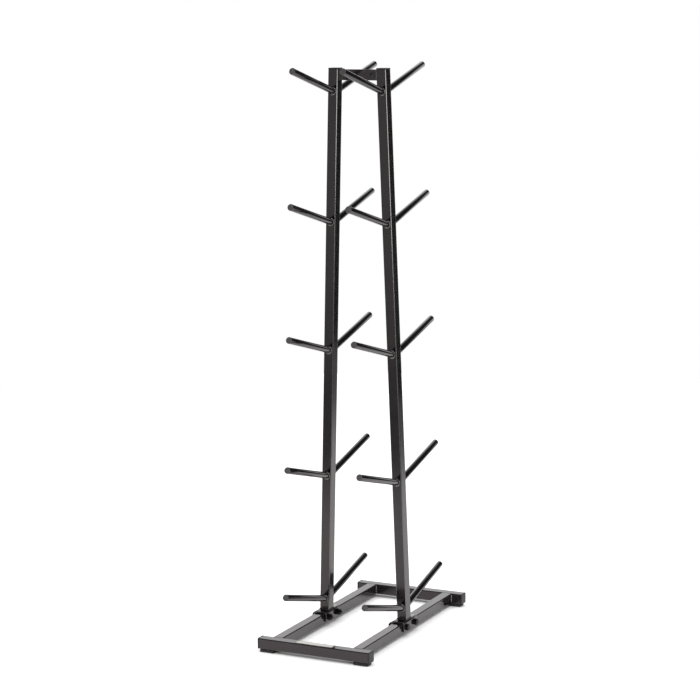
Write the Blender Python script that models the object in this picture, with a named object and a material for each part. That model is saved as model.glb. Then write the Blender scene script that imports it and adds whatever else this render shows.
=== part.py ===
# Medicine ball rack: two leaning uprights with five levels of pegs to the front
# and the rear, bolted by saddles onto a welded base frame of square tube.
# Metres, +Z up, +X along the crossbars, -Y the front. The origin is on the
# floor, under the middle of the base.

import math

import bpy
import bmesh
from mathutils import Euler, Vector

# Whole rack
OVERALL_HEIGHT = 1.700
BASE_WIDTH = 0.367
BASE_DEPTH = 0.700
RAIL_SPACING = 0.263
TOP_SPACING = 0.156

# Square tube that the base and the uprights are made of
TUBE_SIZE = 0.032
TUBE_WALL = 0.002
TUBE_CORNER = 0.003

# Gap that stands between two pieces in contact
SEAT_GAP = 0.0003

# Foot pads under the crossbars
FOOT_LENGTH = 0.046
FOOT_HEIGHT = 0.009
FOOT_INSET = 0.007
FOOT_CORNER = 0.004
FOOT_CHAMFER = 0.0015

# Plastic caps in the tube ends
CAP_THICKNESS = 0.004
CAP_OVERHANG = 0.0004
CAP_CHAMFER = 0.001
CAP_PLUG_DEPTH = 0.014
CAP_PLUG_CLEARANCE = 0.0004

# Pegs
PEG_LEVELS = 5
PEG_DIAMETER = 0.020
PEG_WALL = 0.0015
PEG_LENGTH = 0.262
PEG_TILT = math.radians(15)
FIRST_PEG_RISE = 0.040
LAST_PEG_DROP = 0.0675
PEG_SIDES = 18
PEG_END_THICKNESS = 0.003
PEG_END_CHAMFER = 0.0005

# Saddles that straddle the rails
SADDLE_LENGTH = 0.092
SADDLE_WALL = 0.005
SADDLE_DROP = 0.0245
SADDLE_INNER_BEND = 0.0015
SADDLE_BOLT_SPACING = 0.062
SADDLE_BOLT_DROP = 0.012

# Crosspiece between the tops of the uprights, and the tabs behind it
CROSSPIECE_HEIGHT = 0.032
CROSSPIECE_THICKNESS = 0.005
CROSSPIECE_SETBACK = 0.003
CROSSPIECE_EDGE = 0.0005
TAB_LENGTH = 0.028
TAB_HEIGHT = 0.024
TAB_THICKNESS = 0.005
SCREW_TO_UPRIGHT = 0.014

# M10 hexagon bolts, washers and nuts of the saddles
BOLT_DIAMETER = 0.010
BOLT_HOLE = 0.011
BOLT_FLATS = 0.017
BOLT_HEAD_HEIGHT = 0.0064
NUT_HEIGHT = 0.0084
WASHER_DIAMETER = 0.020
WASHER_THICKNESS = 0.002
BOLT_END_LENGTH = 0.004

# M8 button screws that hold the crosspiece to its tabs
SCREW_DIAMETER = 0.008
SCREW_HOLE = 0.009
SCREW_HEAD_DIAMETER = 0.014
SCREW_HEAD_HEIGHT = 0.0044
SCREW_SOCKET_FLATS = 0.005
SCREW_SOCKET_DEPTH = 0.0024
SCREW_END_LENGTH = 0.002

# Shared by both kinds of fastener
FASTENER_SIDES = 12
FASTENER_CHAMFER = 0.0008
BORE_CLEARANCE = 0.0003

# Blank label on the front crossbar
LABEL_LENGTH = 0.118
LABEL_DEPTH = 0.020
LABEL_THICKNESS = 0.0004
LABEL_CORNER = 0.001

CORNER_STEPS = 3
SMOOTH_ANGLE = math.radians(35)

# Heights and places that follow from the sizes above
TUBE_LOW = FOOT_HEIGHT + SEAT_GAP
TUBE_MIDDLE = TUBE_LOW + TUBE_SIZE / 2
RAIL_TOP = TUBE_LOW + TUBE_SIZE
SADDLE_TOP = RAIL_TOP + SEAT_GAP + SADDLE_WALL
UPRIGHT_BOTTOM = SADDLE_TOP + SEAT_GAP
UPRIGHT_TOP = OVERALL_HEIGHT - CAP_THICKNESS - SEAT_GAP
CROSSBAR_Y = (BASE_DEPTH - TUBE_SIZE) / 2
UPRIGHT_LEAN = (RAIL_SPACING - TOP_SPACING) / 2 / (OVERALL_HEIGHT - RAIL_TOP)
CROSSPIECE_FRONT = -TUBE_SIZE / 2 + CROSSPIECE_SETBACK
CROSSPIECE_BACK = CROSSPIECE_FRONT + CROSSPIECE_THICKNESS
TAB_FRONT = CROSSPIECE_BACK + SEAT_GAP
TAB_BACK = TAB_FRONT + TAB_THICKNESS
SCREW_Z = UPRIGHT_TOP - CROSSPIECE_HEIGHT / 2

SIDES = {"left": -1, "right": 1}
ENDS = {"front": -1, "rear": 1}


def clear_scene():
    for item in list(bpy.data.objects):
        bpy.data.objects.remove(item, do_unlink=True)


def finish(name, colour, roughness, metallic):
    material = bpy.data.materials.new(name)
    material.use_nodes = True
    shader = material.node_tree.nodes["Principled BSDF"]
    shader.inputs["Base Color"].default_value = (*colour, 1.0)
    shader.inputs["Roughness"].default_value = roughness
    shader.inputs["Metallic"].default_value = metallic
    return material


def upright_x(height):
    # Distance from the rack's middle to an upright's middle line at a height
    return RAIL_SPACING / 2 - UPRIGHT_LEAN * (height - RAIL_TOP)


def peg_height(level):
    # The lowest peg is set from the rails, the highest from the uprights' tops,
    # and the others stand at equal steps between them
    lowest = RAIL_TOP + FIRST_PEG_RISE
    highest = OVERALL_HEIGHT - LAST_PEG_DROP
    return lowest + (highest - lowest) * level / (PEG_LEVELS - 1)


def circle(radius, sides):
    step = 2 * math.pi / sides
    return [(radius * math.cos(i * step), radius * math.sin(i * step)) for i in range(sides)]


def hexagon(across_flats, sides):
    # A hexagon with extra points along its flats, so that it matches a circle of
    # as many points: the radius is the half width over the cosine of the angle
    # from the middle of the nearest flat
    points = []
    for i in range(sides):
        angle = 2 * math.pi * i / sides
        off_flat = angle % (math.pi / 3) - math.pi / 6
        radius = across_flats / 2 / math.cos(off_flat)
        points.append((radius * math.cos(angle), radius * math.sin(angle)))
    return points


def arc(centre, radius, start_degrees, end_degrees):
    points = []
    for i in range(CORNER_STEPS + 1):
        angle = math.radians(start_degrees + (end_degrees - start_degrees) * i / CORNER_STEPS)
        points.append((centre[0] + radius * math.cos(angle), centre[1] + radius * math.sin(angle)))
    return points


def rounded_rectangle(width, height, radius):
    x, y = width / 2 - radius, height / 2 - radius
    points = arc((x, y), radius, 0, 90)
    points += arc((-x, y), radius, 90, 180)
    points += arc((-x, -y), radius, 180, 270)
    points += arc((x, -y), radius, 270, 360)
    return points


def along_x(outline, x):
    return [Vector((x, u, v)) for u, v in outline]


def along_y(outline, y):
    return [Vector((u, y, v)) for u, v in outline]


def along_z(outline, z, shift=0.0):
    return [Vector((u + shift, v, z)) for u, v in outline]


def skin(name, loops, is_sleeve=False):
    # Closes a solid over loops of equally many points. A sleeve's last loop
    # meets its first. Any other solid is filled at its two end loops.
    bm = bmesh.new()
    rows = [[bm.verts.new(point) for point in loop] for loop in loops]
    bands = list(zip(rows, rows[1:]))
    if is_sleeve:
        bands.append((rows[-1], rows[0]))
    else:
        bm.faces.new(rows[0])
        bm.faces.new(rows[-1])
    for near, far in bands:
        count = len(near)
        for i in range(count):
            j = (i + 1) % count
            bm.faces.new((near[i], near[j], far[j], far[i]))
    bmesh.ops.recalc_face_normals(bm, faces=bm.faces)
    mesh = bpy.data.meshes.new(name)
    bm.to_mesh(mesh)
    bm.free()
    mesh.shade_smooth()
    mesh.set_sharp_from_angle(angle=SMOOTH_ANGLE)
    return mesh


def add_object(name, mesh, material, location=(0, 0, 0), turn=0.0):
    if not mesh.materials:
        mesh.materials.append(material)
    item = bpy.data.objects.new(name, mesh)
    item.location = location
    item.rotation_euler = Euler((0, 0, turn))
    bpy.context.scene.collection.objects.link(item)
    return item


def add_cutter(name, diameter, length, location, axis):
    # A round drill, wider than the wall that it goes through
    outline = circle(diameter / 2, FASTENER_SIDES)
    place = along_x if axis == "x" else along_y
    loops = [place(outline, -length / 2), place(outline, length / 2)]
    drill = bpy.data.objects.new(name, skin(name, loops))
    drill.location = location
    drill.hide_render = True
    drill.display_type = "WIRE"
    bpy.context.scene.collection.objects.link(drill)
    return drill


def drill_hole(item, drill):
    cut = item.modifiers.new(drill.name, "BOOLEAN")
    cut.operation = "DIFFERENCE"
    cut.object = drill


def tube_outlines():
    outer = rounded_rectangle(TUBE_SIZE, TUBE_SIZE, TUBE_CORNER)
    bore = TUBE_SIZE - 2 * TUBE_WALL
    inner = rounded_rectangle(bore, bore, TUBE_CORNER - TUBE_WALL)
    return outer, inner


def tube_mesh(name, place, length):
    outer, inner = tube_outlines()
    low, high = -length / 2, length / 2
    loops = [place(outer, low), place(outer, high), place(inner, high), place(inner, low)]
    return skin(name, loops, is_sleeve=True)


def add_crossbars(coat):
    length = BASE_WIDTH - 2 * (CAP_THICKNESS + SEAT_GAP)
    mesh = tube_mesh("crossbar", along_x, length)
    for end, sign in ENDS.items():
        add_object(f"{end}_crossbar", mesh, coat, (0, sign * CROSSBAR_Y, TUBE_MIDDLE))


def add_rails(coat):
    length = BASE_DEPTH - 2 * (TUBE_SIZE + SEAT_GAP)
    mesh = tube_mesh("rail", along_y, length)
    rails = {}
    for side, sign in SIDES.items():
        place = (sign * RAIL_SPACING / 2, 0, TUBE_MIDDLE)
        rails[side] = add_object(f"{side}_rail", mesh, coat, place)
    return rails


def cap_loops(place, outward):
    # The head covers the tube's end and the plug behind it sits inside the tube.
    # Distances run along the tube, from the tube's end face.
    head = TUBE_SIZE + 2 * CAP_OVERHANG
    face = head - 2 * CAP_CHAMFER
    plug = TUBE_SIZE - 2 * TUBE_WALL - 2 * CAP_PLUG_CLEARANCE
    head_outline = rounded_rectangle(head, head, TUBE_CORNER)
    face_outline = rounded_rectangle(face, face, TUBE_CORNER - CAP_CHAMFER)
    plug_outline = rounded_rectangle(plug, plug, TUBE_CORNER - TUBE_WALL)
    head_low = SEAT_GAP
    head_high = SEAT_GAP + CAP_THICKNESS
    return [
        place(face_outline, outward * head_high),
        place(head_outline, outward * (head_high - CAP_CHAMFER)),
        place(head_outline, outward * head_low),
        place(plug_outline, outward * head_low),
        place(plug_outline, outward * -CAP_PLUG_DEPTH),
    ]


def add_end_caps(plastic):
    tube_end = BASE_WIDTH / 2 - CAP_THICKNESS - SEAT_GAP
    for side, across in SIDES.items():
        mesh = skin(f"{side}_end_cap", cap_loops(along_x, across))
        for end, along in ENDS.items():
            place = (across * tube_end, along * CROSSBAR_Y, TUBE_MIDDLE)
            add_object(f"{end}_{side}_end_cap", mesh, plastic, place)


def add_feet(rubber):
    sole = rounded_rectangle(
        FOOT_LENGTH - 2 * FOOT_CHAMFER,
        TUBE_SIZE - 2 * FOOT_CHAMFER,
        FOOT_CORNER - FOOT_CHAMFER,
    )
    body = rounded_rectangle(FOOT_LENGTH, TUBE_SIZE, FOOT_CORNER)
    loops = [along_z(sole, 0), along_z(body, FOOT_CHAMFER), along_z(body, FOOT_HEIGHT)]
    mesh = skin("foot", loops)
    foot_x = BASE_WIDTH / 2 - FOOT_INSET - FOOT_LENGTH / 2
    for side, across in SIDES.items():
        for end, along in ENDS.items():
            place = (across * foot_x, along * CROSSBAR_Y, 0)
            add_object(f"{end}_{side}_foot", mesh, rubber, place)


def saddle_outline():
    # An upside-down U, seen along the rail, measured from the rail's top middle
    inner = TUBE_SIZE / 2 + SEAT_GAP
    outer = inner + SADDLE_WALL
    bend = SADDLE_INNER_BEND
    outer_bend = bend + SADDLE_WALL
    centre_x = inner - bend
    centre_z = SEAT_GAP - bend
    points = [(outer, -SADDLE_DROP)]
    points += arc((centre_x, centre_z), outer_bend, 0, 90)
    points += arc((-centre_x, centre_z), outer_bend, 90, 180)
    points += [(-outer, -SADDLE_DROP), (-inner, -SADDLE_DROP)]
    points += arc((-centre_x, centre_z), bend, 180, 90)
    points += arc((centre_x, centre_z), bend, 90, 0)
    points.append((inner, -SADDLE_DROP))
    return points


def add_saddles(coat):
    outline = saddle_outline()
    loops = [along_y(outline, -SADDLE_LENGTH / 2), along_y(outline, SADDLE_LENGTH / 2)]
    mesh = skin("saddle", loops)
    saddles = {}
    for side, sign in SIDES.items():
        place = (sign * RAIL_SPACING / 2, 0, RAIL_TOP)
        saddles[side] = add_object(f"{side}_saddle", mesh, coat, place)
    return saddles


def drill_saddles_and_rails(saddles, rails):
    for side, sign in SIDES.items():
        for end, along in ENDS.items():
            place = (sign * RAIL_SPACING / 2, along * SADDLE_BOLT_SPACING / 2, RAIL_TOP - SADDLE_BOLT_DROP)
            drill = add_cutter(f"{side}_{end}_bolt_drill", BOLT_HOLE, 2 * TUBE_SIZE, place, "x")
            drill_hole(saddles[side], drill)
            drill_hole(rails[side], drill)


def add_uprights(coat):
    outer, inner = tube_outlines()
    bottom_x = upright_x(UPRIGHT_BOTTOM)
    height = UPRIGHT_TOP - UPRIGHT_BOTTOM
    for side, sign in SIDES.items():
        shift = sign * (upright_x(UPRIGHT_TOP) - bottom_x)
        loops = [
            along_z(outer, 0),
            along_z(outer, height, shift),
            along_z(inner, height, shift),
            along_z(inner, 0),
        ]
        mesh = skin(f"{side}_upright", loops, is_sleeve=True)
        add_object(f"{side}_upright", mesh, coat, (sign * bottom_x, 0, UPRIGHT_BOTTOM))


def add_upright_caps(plastic):
    # The plug follows the upright's lean, so its end is shifted sideways
    for side, sign in SIDES.items():
        loops = cap_loops(along_z, 1)
        for loop in loops:
            for point in loop:
                point.x -= sign * UPRIGHT_LEAN * min(point.z, 0)
        mesh = skin(f"{side}_upright_cap", loops)
        place = (sign * upright_x(UPRIGHT_TOP), 0, UPRIGHT_TOP)
        add_object(f"{side}_upright_cap", mesh, plastic, place)


def peg_loop(radius, distance):
    # A square-cut loop at a distance along the peg's middle line, which starts
    # at the origin and rises towards -Y
    forward = Vector((0, -math.cos(PEG_TILT), math.sin(PEG_TILT)))
    upward = Vector((0, math.sin(PEG_TILT), math.cos(PEG_TILT)))
    return [
        forward * distance + Vector((u, 0, 0)) + upward * v
        for u, v in circle(radius, PEG_SIDES)
    ]


def peg_root_loop(radius):
    # The loop where the tube is cut to lie flat on the upright: each point of a
    # square-cut loop slides along the tube until its Y is zero
    forward = Vector((0, -math.cos(PEG_TILT), math.sin(PEG_TILT)))
    return [point + forward * (point.y / math.cos(PEG_TILT)) for point in peg_loop(radius, 0)]


def add_pegs(coat):
    # Each peg is a tube that is closed at its free end and open at its root
    outer = PEG_DIAMETER / 2
    inner = outer - PEG_WALL
    loops = [
        peg_loop(inner, PEG_LENGTH - PEG_END_THICKNESS),
        peg_root_loop(inner),
        peg_root_loop(outer),
        peg_loop(outer, PEG_LENGTH - PEG_END_CHAMFER),
        peg_loop(outer - PEG_END_CHAMFER, PEG_LENGTH),
    ]
    mesh = skin("peg", loops)
    for side, across in SIDES.items():
        for end, along in ENDS.items():
            turn = 0 if end == "front" else math.pi
            for level in range(PEG_LEVELS):
                height = peg_height(level)
                root_y = along * (TUBE_SIZE / 2 + SEAT_GAP)
                place = (across * upright_x(height), root_y, height)
                add_object(f"{side}_{end}_peg_{level + 1}", mesh, coat, place, turn)


def crosspiece_half_width(height):
    return upright_x(height) - TUBE_SIZE / 2 - SEAT_GAP


def add_crosspiece(coat):
    low = UPRIGHT_TOP - CROSSPIECE_HEIGHT
    high = UPRIGHT_TOP
    outline = [
        (-crosspiece_half_width(low), low),
        (crosspiece_half_width(low), low),
        (crosspiece_half_width(high), high),
        (-crosspiece_half_width(high), high),
    ]
    loops = [along_y(outline, CROSSPIECE_FRONT), along_y(outline, CROSSPIECE_BACK)]
    plate = add_object("crosspiece", skin("crosspiece", loops), coat)
    edge = plate.modifiers.new("edge", "BEVEL")
    edge.width = CROSSPIECE_EDGE
    edge.segments = 1
    return plate


def add_tabs(coat):
    tabs = {}
    low = SCREW_Z - TAB_HEIGHT / 2
    high = SCREW_Z + TAB_HEIGHT / 2
    free_end = crosspiece_half_width(SCREW_Z) - TAB_LENGTH
    for side, sign in SIDES.items():
        outline = [
            (sign * free_end, low),
            (sign * crosspiece_half_width(low), low),
            (sign * crosspiece_half_width(high), high),
            (sign * free_end, high),
        ]
        loops = [along_y(outline, TAB_FRONT), along_y(outline, TAB_BACK)]
        tabs[side] = add_object(f"{side}_top_tab", skin(f"{side}_top_tab", loops), coat)
    return tabs


def screw_x():
    return crosspiece_half_width(SCREW_Z) - SCREW_TO_UPRIGHT


def drill_crosspiece_and_tabs(plate, tabs):
    for side, sign in SIDES.items():
        place = (sign * screw_x(), TAB_FRONT, SCREW_Z)
        drill = add_cutter(f"{side}_screw_drill", SCREW_HOLE, 2 * TUBE_SIZE, place, "y")
        drill_hole(plate, drill)
        drill_hole(tabs[side], drill)


def washer_mesh():
    outer = circle(WASHER_DIAMETER / 2, FASTENER_SIDES)
    inner = circle(BOLT_DIAMETER / 2 + BORE_CLEARANCE, FASTENER_SIDES)
    loops = [
        along_x(outer, 0),
        along_x(outer, WASHER_THICKNESS),
        along_x(inner, WASHER_THICKNESS),
        along_x(inner, 0),
    ]
    return skin("washer", loops, is_sleeve=True)


def nut_mesh():
    body = hexagon(BOLT_FLATS, FASTENER_SIDES)
    face = circle(BOLT_FLATS / 2 - FASTENER_CHAMFER / 2, FASTENER_SIDES)
    inner = circle(BOLT_DIAMETER / 2 + BORE_CLEARANCE, FASTENER_SIDES)
    loops = [
        along_x(body, 0),
        along_x(body, NUT_HEIGHT - FASTENER_CHAMFER),
        along_x(face, NUT_HEIGHT),
        along_x(inner, NUT_HEIGHT),
        along_x(inner, 0),
    ]
    return skin("nut", loops, is_sleeve=True)


def bolt_mesh(shank_length):
    # The head rises along +X from the origin and the shank runs along -X
    head = hexagon(BOLT_FLATS, FASTENER_SIDES)
    face = circle(BOLT_FLATS / 2 - FASTENER_CHAMFER / 2, FASTENER_SIDES)
    shank = circle(BOLT_DIAMETER / 2, FASTENER_SIDES)
    tip = circle(BOLT_DIAMETER / 2 - FASTENER_CHAMFER, FASTENER_SIDES)
    loops = [
        along_x(face, BOLT_HEAD_HEIGHT),
        along_x(head, BOLT_HEAD_HEIGHT - FASTENER_CHAMFER),
        along_x(head, 0),
        along_x(shank, 0),
        along_x(shank, FASTENER_CHAMFER - shank_length),
        along_x(tip, -shank_length),
    ]
    return skin("bolt", loops)


def add_saddle_fasteners(steel):
    # The heads are on the outer sides of the rack and the nuts on the inner ones.
    # Distances run along X from the middle of the rail.
    washer_place = TUBE_SIZE / 2 + SEAT_GAP + SADDLE_WALL + SEAT_GAP
    seat = washer_place + WASHER_THICKNESS + SEAT_GAP
    washer = washer_mesh()
    nut = nut_mesh()
    bolt = bolt_mesh(2 * seat + NUT_HEIGHT + BOLT_END_LENGTH)
    height = RAIL_TOP - SADDLE_BOLT_DROP
    for side, outward in SIDES.items():
        rail_x = outward * RAIL_SPACING / 2
        outer_turn = 0 if outward > 0 else math.pi
        inner_turn = math.pi - outer_turn
        pieces = (
            ("bolt", bolt, outward * seat, outer_turn),
            ("nut", nut, -outward * seat, inner_turn),
            ("outer_washer", washer, outward * washer_place, outer_turn),
            ("inner_washer", washer, -outward * washer_place, inner_turn),
        )
        for end, along in ENDS.items():
            bolt_y = along * SADDLE_BOLT_SPACING / 2
            for kind, mesh, offset, turn in pieces:
                name = f"{side}_{end}_saddle_{kind}"
                add_object(name, mesh, steel, (rail_x + offset, bolt_y, height), turn)


def screw_mesh():
    # Along Y, from the underside of the head. The head's dome is a quarter of an
    # ellipse, cut off where the socket starts.
    head_radius = SCREW_HEAD_DIAMETER / 2
    socket = hexagon(SCREW_SOCKET_FLATS, FASTENER_SIDES)
    rim_angle = math.acos((SCREW_SOCKET_FLATS / 2 + FASTENER_CHAMFER) / head_radius)
    dome = []
    for i in range(CORNER_STEPS + 1):
        angle = rim_angle * (1 - i / CORNER_STEPS)
        dome.append((head_radius * math.cos(angle), -SCREW_HEAD_HEIGHT * math.sin(angle)))
    rim_y = dome[0][1]
    tip_y = SEAT_GAP + TAB_BACK - CROSSPIECE_FRONT + SCREW_END_LENGTH
    shank = circle(SCREW_DIAMETER / 2, FASTENER_SIDES)
    tip = circle(SCREW_DIAMETER / 2 - FASTENER_CHAMFER, FASTENER_SIDES)
    loops = [along_y(socket, rim_y + SCREW_SOCKET_DEPTH), along_y(socket, rim_y)]
    loops += [along_y(circle(radius, FASTENER_SIDES), y) for radius, y in dome]
    loops += [
        along_y(shank, 0),
        along_y(shank, tip_y - FASTENER_CHAMFER),
        along_y(tip, tip_y),
    ]
    return skin("screw", loops)


def add_crosspiece_screws(steel):
    mesh = screw_mesh()
    for side, sign in SIDES.items():
        place = (sign * screw_x(), CROSSPIECE_FRONT - SEAT_GAP, SCREW_Z)
        add_object(f"{side}_crosspiece_screw", mesh, steel, place)


def add_label(film):
    outline = rounded_rectangle(LABEL_LENGTH, LABEL_DEPTH, LABEL_CORNER)
    loops = [along_z(outline, SEAT_GAP), along_z(outline, SEAT_GAP + LABEL_THICKNESS)]
    add_object("blank_label", skin("blank_label", loops), film, (0, -CROSSBAR_Y, RAIL_TOP))


def build_rack():
    clear_scene()
    coat = finish("black_powder_coat", (0.006, 0.0055, 0.006), 0.25, 0.0)
    plastic = finish("black_plastic", (0.045, 0.043, 0.042), 0.45, 0.0)
    rubber = finish("foot_rubber", (0.040, 0.037, 0.035), 0.60, 0.0)
    steel = finish("blackened_steel", (0.030, 0.029, 0.028), 0.38, 0.8)
    film = finish("label_film", (0.800, 0.780, 0.740), 0.45, 0.0)
    add_crossbars(coat)
    rails = add_rails(coat)
    add_end_caps(plastic)
    add_feet(rubber)
    saddles = add_saddles(coat)
    drill_saddles_and_rails(saddles, rails)
    add_uprights(coat)
    add_upright_caps(plastic)
    add_pegs(coat)
    plate = add_crosspiece(coat)
    tabs = add_tabs(coat)
    drill_crosspiece_and_tabs(plate, tabs)
    add_saddle_fasteners(steel)
    add_crosspiece_screws(steel)
    add_label(film)


build_rack()
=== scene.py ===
# Medicine ball rack, dressed: rounded square tube, welded pegs with end plugs, saddles,
# bolts, caps and feet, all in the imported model's frame. Metres, +Z up, -Y the front.
import math

import bmesh
import bpy
import numpy as np
from mathutils import Matrix, Vector


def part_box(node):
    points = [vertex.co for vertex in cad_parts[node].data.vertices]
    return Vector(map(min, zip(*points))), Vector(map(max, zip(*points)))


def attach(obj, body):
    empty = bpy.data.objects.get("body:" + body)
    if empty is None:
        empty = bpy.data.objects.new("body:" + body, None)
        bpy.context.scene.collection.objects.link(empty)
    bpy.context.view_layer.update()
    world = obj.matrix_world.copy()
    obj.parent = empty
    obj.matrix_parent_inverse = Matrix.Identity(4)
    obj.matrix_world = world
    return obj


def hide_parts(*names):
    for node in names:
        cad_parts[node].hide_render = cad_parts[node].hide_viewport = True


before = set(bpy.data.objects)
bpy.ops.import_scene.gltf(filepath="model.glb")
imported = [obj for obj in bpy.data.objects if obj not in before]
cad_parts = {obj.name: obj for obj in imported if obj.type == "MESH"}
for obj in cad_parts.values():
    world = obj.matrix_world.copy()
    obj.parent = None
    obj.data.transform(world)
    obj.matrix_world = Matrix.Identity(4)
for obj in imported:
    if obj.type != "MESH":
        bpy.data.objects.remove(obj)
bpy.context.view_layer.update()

sideSigns = {"left": -1, "right": 1}
endSigns = {"front": -1, "rear": 1}
sharpAngle = math.radians(38)
seatGap = 0.0003  # left between pieces that touch


# Meshes from whole arrays

def nodeBox(node):
    # the node's lowest and highest corners
    low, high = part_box(node)
    return np.array(low), np.array(high)


def addObject(name, data):
    made = bpy.data.objects.new(name, data)
    bpy.context.scene.collection.objects.link(made)
    return made


def addPiece(name, mesh, finish, *replaced):
    # Puts a finished mesh into the scene, on the rack's one body. A finish is a material
    # and the name of the record's slot for it; that name is not used.
    material, slotName = finish
    mesh.name = name
    mesh.materials.clear()
    mesh.materials.append(material)
    mesh.shade_smooth()
    mesh.set_sharp_from_angle(angle=sharpAngle)
    piece = addObject(name, mesh)
    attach(piece, "root")
    if replaced:
        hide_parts(*replaced)


def ringMesh(rings, joined=False):
    # rings is (count, around, 3). Neighbouring points of neighbouring rings make the quads.
    # joined: the last ring meets the first. Otherwise the first and last rings are filled.
    rings = np.asarray(rings, float)
    count, around = rings.shape[:2]
    index = np.arange(count * around).reshape(count, around)
    near = index if joined else index[:-1]
    far = np.roll(index, -1, axis=0) if joined else index[1:]
    quads = np.stack([near, np.roll(near, -1, 1), np.roll(far, -1, 1), far], -1).reshape(-1, 4)
    faces = quads.tolist()
    if not joined:
        faces += [index[0, ::-1].tolist(), index[-1].tolist()]
    mesh = bpy.data.meshes.new("rings")
    mesh.from_pydata(rings.reshape(-1, 3).tolist(), [], faces)
    shell = bmesh.new()
    shell.from_mesh(mesh)
    bmesh.ops.recalc_face_normals(shell, faces=shell.faces)
    shell.to_mesh(mesh)
    shell.free()
    return mesh


def roundedOutline(width, height, radius, steps=8, lead=0.0006):
    # A quarter circle in each corner. A point just off each end of a quarter keeps the
    # straight sides flat in the shading.
    turn = np.linspace(0, np.pi / 2, steps + 1)
    quarter = radius * np.stack([np.cos(turn), np.sin(turn)], -1)
    quarter = np.concatenate([quarter[:1] - [[0, lead]], quarter, quarter[-1:] - [[lead, 0]]])
    corner = quarter + np.array([width, height]) / 2 - radius
    mirrored = (corner * [-1, 1])[::-1]
    return np.concatenate([corner, mirrored, -corner, -mirrored])


def squareOutline(size, corner, inwards=0):
    # a rounded square, all its sides drawn in by the same amount
    return roundedOutline(size - 2 * inwards, size - 2 * inwards, corner - inwards)


def laid(outline, axis, centre):
    # a flat outline stood square to X (0), Y (1) or Z (2) about a centre
    return np.insert(outline, axis, 0.0, axis=1) + np.asarray(centre)


def stackedRings(low, high, axis, corner, drawn, along, **options):
    # a box's rounded rectangles square to the axis, each drawn in by its own amount
    across = [k for k in range(3) if k != axis]
    rings = []
    for inwards, place in zip(drawn, along):
        width, height = (high - low)[across] - 2 * inwards
        middle = (low + high) / 2
        middle[axis] = place
        outline = roundedOutline(width, height, corner - inwards, **options)
        rings.append(laid(outline, axis, middle))
    return rings


def circleAround(count):
    # evenly spaced angles, and the unit circle's point at each
    turn = np.linspace(0, 2 * np.pi, count, endpoint=False)
    return turn, np.stack([np.cos(turn), np.sin(turn)], -1)


def hexRadius(turn, flats):
    # distance from the middle to the side of a hexagon, at each angle
    return flats / 2 / np.cos(turn % (np.pi / 3) - np.pi / 6)


def turnedRings(radii, along, axis, centre, direction, count):
    # radii: how far each ring stands from the axis, one number or one for each of its points.
    # along: each ring's place on the axis, from the centre, positive in the direction.
    radii = np.stack([np.broadcast_to(radius, count) for radius in radii])
    spokes = laid(circleAround(count)[1], axis, (0, 0, 0))
    rings = radii[:, :, None] * spokes[None]
    rings[:, :, axis] += direction * np.asarray(along, float)[:, None]
    return rings + np.asarray(centre)


def easedEdge(steps=4):
    # how far in and how far back each ring of a quarter-round edge lies, in shares of its radius
    turn = np.linspace(0, np.pi / 2, steps + 1)
    return 1 - np.cos(turn), np.sin(turn)


def easedSides(low, high, edge, steps=4):
    # how far each ring draws in and where it lies, from one eased side of a plate to the other
    back, ease = easedEdge(steps)
    inset, along = edge * (1 - ease), edge * back
    return np.concatenate([inset, inset[::-1]]), np.concatenate([low + along, high - along[::-1]])


def beadRings(path, outward, upward, thickness, count=14):
    # A weld bead: a circle swept along the path, its radius given at each point of the path.
    # outward and upward are unit vectors square to the path, one for each point.
    unit = circleAround(count)[1]
    spokes = outward[:, None] * unit[None, :, :1] + upward[:, None] * unit[None, :, 1:]
    return path[:, None] + spokes * thickness[:, None, None]


def drilled(mesh, name, centres, axis, radius):
    # cuts round holes through a closed mesh, a tube's width to both sides of each centre
    body = addObject(name, mesh)
    drills = []
    for centre in centres:
        rings = turnedRings([radius, radius], [-tube["size"], tube["size"]], axis, centre, 1, 32)
        drill = addObject(name + "_drill", ringMesh(rings))
        cut = body.modifiers.new("hole", "BOOLEAN")
        cut.operation = "DIFFERENCE"
        cut.solver = "EXACT"
        cut.object = drill
        drills.append(drill)
    bpy.context.view_layer.update()
    evaluated = body.evaluated_get(bpy.context.evaluated_depsgraph_get())
    made = bpy.data.meshes.new_from_object(evaluated)
    for item in drills + [body]:
        bpy.data.objects.remove(item)
    return made


# Materials: nodes on Object coordinates

noiseReach = (0.3, 0.7)  # what a noise pattern mostly keeps between


def setSockets(node, values):
    # links what varies; what is the same all over is written on the socket itself
    for key, value in values.items():
        socket = node.inputs[key]
        if isinstance(value, bpy.types.NodeSocket):
            node.id_data.links.new(value, socket)
        elif value is not None:
            socket.default_value = (*value, 1.0) if socket.type == "RGBA" else value


def addNode(tree, kind, values=None, **options):
    made = tree.nodes.new("ShaderNode" + kind)
    for key, value in options.items():
        setattr(made, key, value)
    setSockets(made, values or {})
    return made


def newMaterial(name):
    material = bpy.data.materials.new(name)
    material.use_nodes = True
    tree = material.node_tree
    shader = next(n for n in tree.nodes if n.type == "BSDF_PRINCIPLED")
    place = addNode(tree, "TexCoord").outputs["Object"]
    return material, shader, place


def joined(kind, values, **options):
    # a new node beside the ones whose sockets feed it
    source = next(value for value in values.values() if isinstance(value, bpy.types.NodeSocket))
    return addNode(source.id_data, kind, values, **options).outputs


def noiseAt(place, scale, detail, stretch=None):
    # a noise pattern, with this many features in a metre
    if stretch:
        place = joined("Mapping", {"Vector": place, "Scale": stretch})[0]
    return joined("TexNoise", {"Vector": place, "Scale": scale, "Detail": detail})[0]


def spread(value, fromLow, fromHigh, toLow=0, toHigh=1):
    # carries one range over to another, slowing at both ends
    values = {"Value": value, "From Min": fromLow, "From Max": fromHigh}
    values |= {"To Min": toLow, "To Max": toHigh}
    return joined("MapRange", values, interpolation_type="SMOOTHSTEP")[0]


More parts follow.
